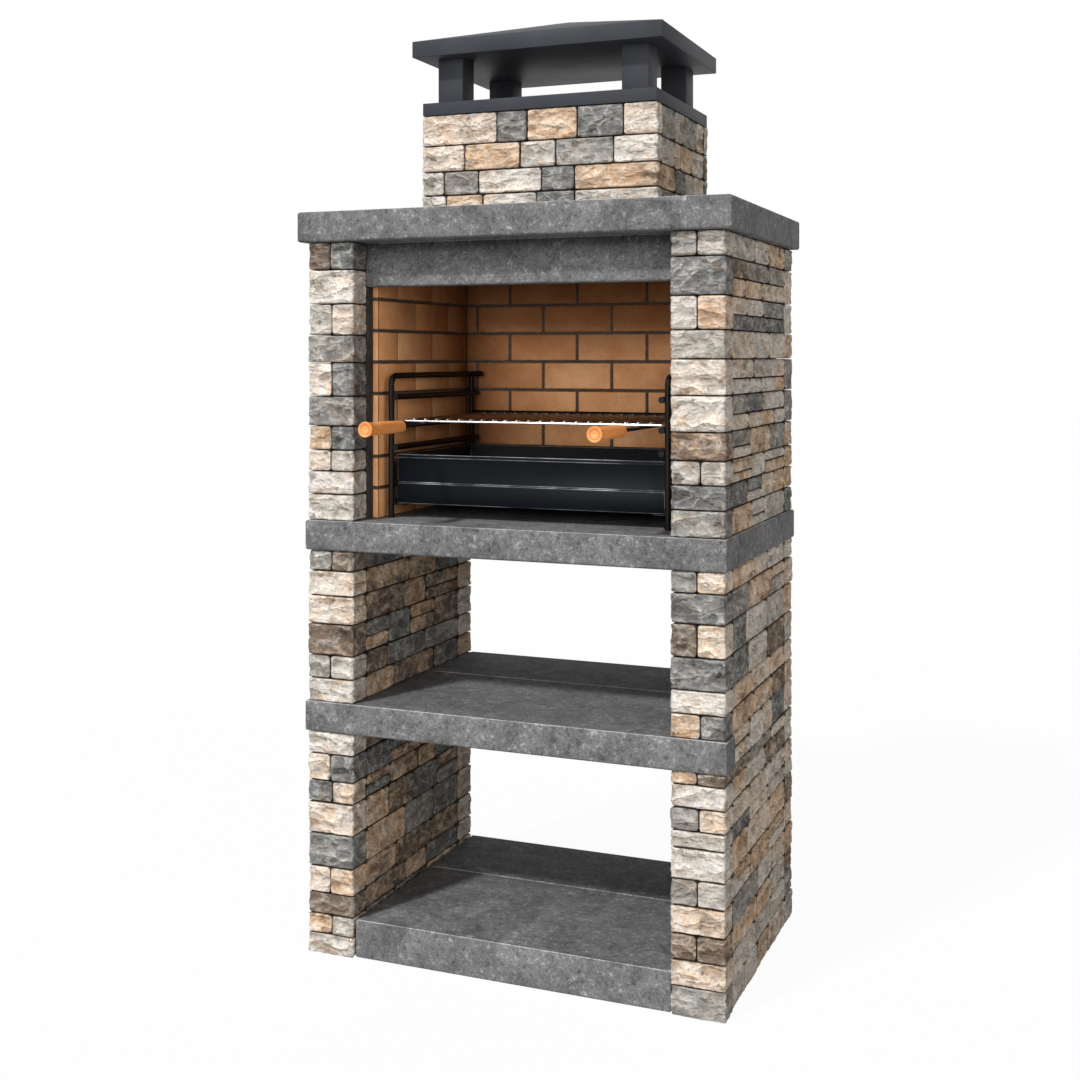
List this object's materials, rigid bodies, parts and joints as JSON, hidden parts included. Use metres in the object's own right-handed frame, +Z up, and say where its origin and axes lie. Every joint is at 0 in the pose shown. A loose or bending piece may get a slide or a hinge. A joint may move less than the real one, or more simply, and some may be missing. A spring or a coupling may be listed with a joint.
{
  "type": "masonry barbecue",
  "caption": "Free-standing stone-faced masonry barbecue: two storage bays, firebrick chamber with sliding grid and charcoal tray, stone chimney and steel cap.",
  "frame": {"origin": "on the ground, midway between the side walls and midway along their depth", "axes": "+Z up, front towards -Y, +X to the right seen from the front"},
  "size_m": [0.928, 0.725, 1.983],
  "materials": {
    "cast_concrete": "mottled matte",
    "jamb_concrete": "smooth matte",
    "core_concrete": "plain cast",
    "split_stone": "split face, mixed tones",
    "firebrick": "fired matte",
    "mortar": "raked joint",
    "cap_steel": "satin powder coat",
    "rack_steel": "semi-gloss black",
    "tray_steel": "satin black",
    "grid_chrome": "bright",
    "grip_wood": "satin varnish"
  },
  "bodies": {
    "structure": {"plinth_front_slab": "cast_concrete", "plinth_rear_slab": "cast_concrete", "shelf_front_slab": "cast_concrete", "shelf_rear_slab": "cast_concrete", "hearth_slab": "cast_concrete", "mantel_slab": "cast_concrete", "lintel": "cast_concrete", "left_jamb": "jamb_concrete", "right_jamb": "jamb_concrete", "left_lower_core": "core_concrete", "right_lower_core": "core_concrete", "left_middle_core": "core_concrete", "right_middle_core": "core_concrete", "left_upper_core": "core_concrete", "right_upper_core": "core_concrete", "left_lower_front_blocks": "split_stone", "left_middle_front_blocks": "split_stone", "left_upper_front_blocks": "split_stone", "right_lower_front_blocks": "split_stone", "right_middle_front_blocks": "split_stone", "right_upper_front_blocks": "split_stone", "left_lower_rear_blocks": "split_stone", "left_upper_rear_blocks": "split_stone", "right_lower_rear_blocks": "split_stone", "right_upper_rear_blocks": "split_stone", "left_lower_outer_facing": "split_stone", "left_upper_outer_facing": "split_stone", "right_lower_outer_facing": "split_stone", "right_upper_outer_facing": "split_stone", "left_lower_inner_facing": "split_stone", "left_middle_inner_facing": "split_stone", "right_lower_inner_facing": "split_stone", "right_middle_inner_facing": "split_stone", "chamber_back_panel": "core_concrete", "left_mortar_bed": "mortar", "right_mortar_bed": "mortar", "back_mortar_bed": "mortar", "left_firebricks": "firebrick", "right_firebricks": "firebrick", "back_firebricks": "firebrick", "flue_block": "core_concrete", "chimney_stones": "split_stone", "cap_base_ring": "cap_steel", "cap_posts": "cap_steel", "cap_soffit": "cap_steel", "cap_roof": "cap_steel", "rack_left_frame": "rack_steel", "rack_right_frame": "rack_steel", "rack_rear_bars": "rack_steel"},
    "grid": {"grid_frame": "grid_chrome", "grid_wires": "grid_chrome", "handle_shanks": "rack_steel", "handle_grips": "grip_wood"},
    "tray": {"charcoal_tray": "tray_steel"}
  },
  "joints": [
    {"name": "grid_slide", "type": "slide", "parent": "structure", "child": "grid", "axis": [0, -1, 0], "range_m": [0, 0.34]},
    {"name": "tray_slide", "type": "slide", "parent": "structure", "child": "tray", "axis": [0, -1, 0], "range_m": [0, 0.34]}
  ]
}
